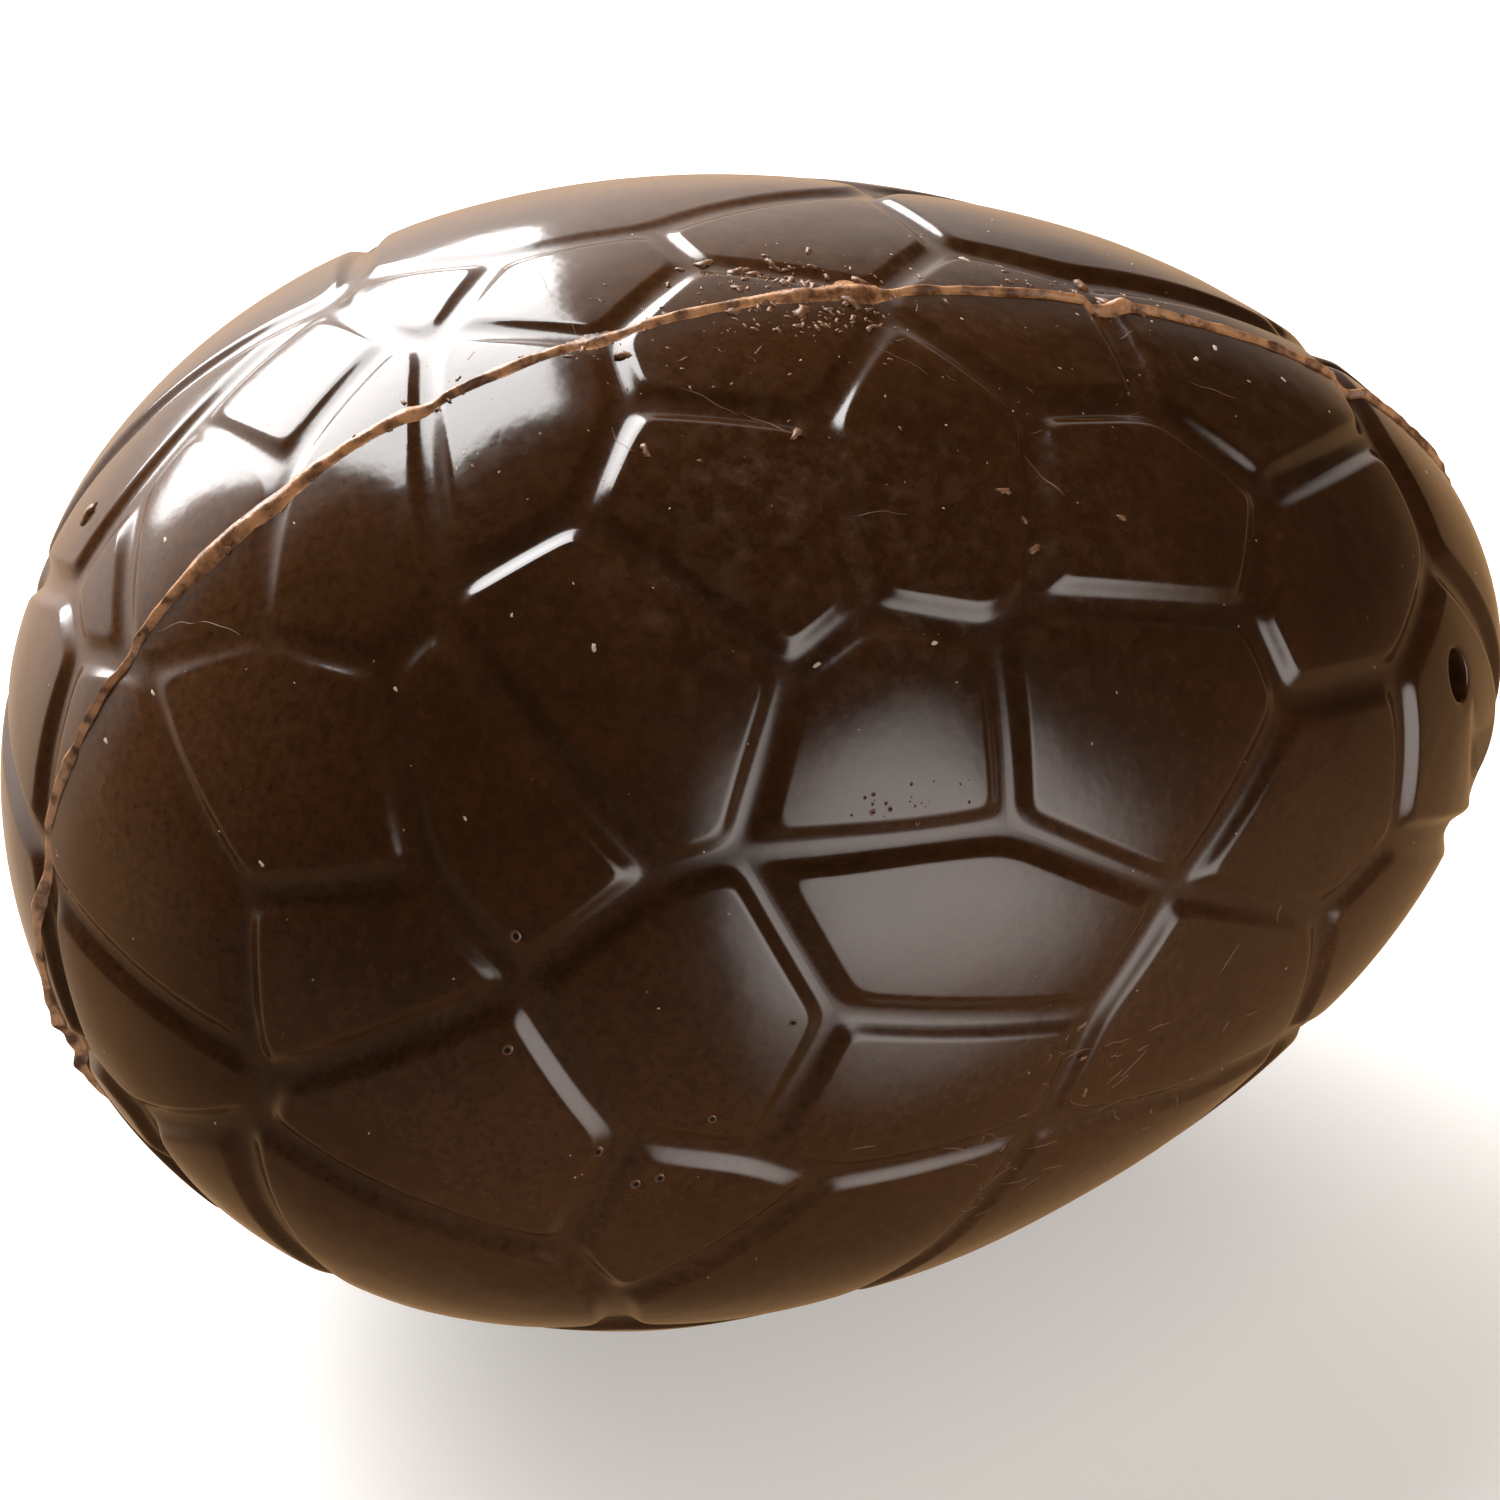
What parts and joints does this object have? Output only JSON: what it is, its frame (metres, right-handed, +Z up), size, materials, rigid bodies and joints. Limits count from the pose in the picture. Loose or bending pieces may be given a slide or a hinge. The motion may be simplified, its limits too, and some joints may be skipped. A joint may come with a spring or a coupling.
{
  "type": "chocolate egg",
  "caption": "Moulded dark chocolate egg with a crackle pattern of raised plates, a thin fin along its seam and a small vent hole, lying on its side.",
  "frame": {"origin": "centre of the egg's bounding box, on the surface it lies on", "axes": "+X towards the narrow end, +Z up, the seam's plane close to the XZ plane"},
  "size_m": [0.0806, 0.0576, 0.0578],
  "materials": {
    "dark_chocolate": "glossy moulded dark chocolate"
  },
  "bodies": {
    "root": {"egg": "dark_chocolate"}
  },
  "joints": []
}
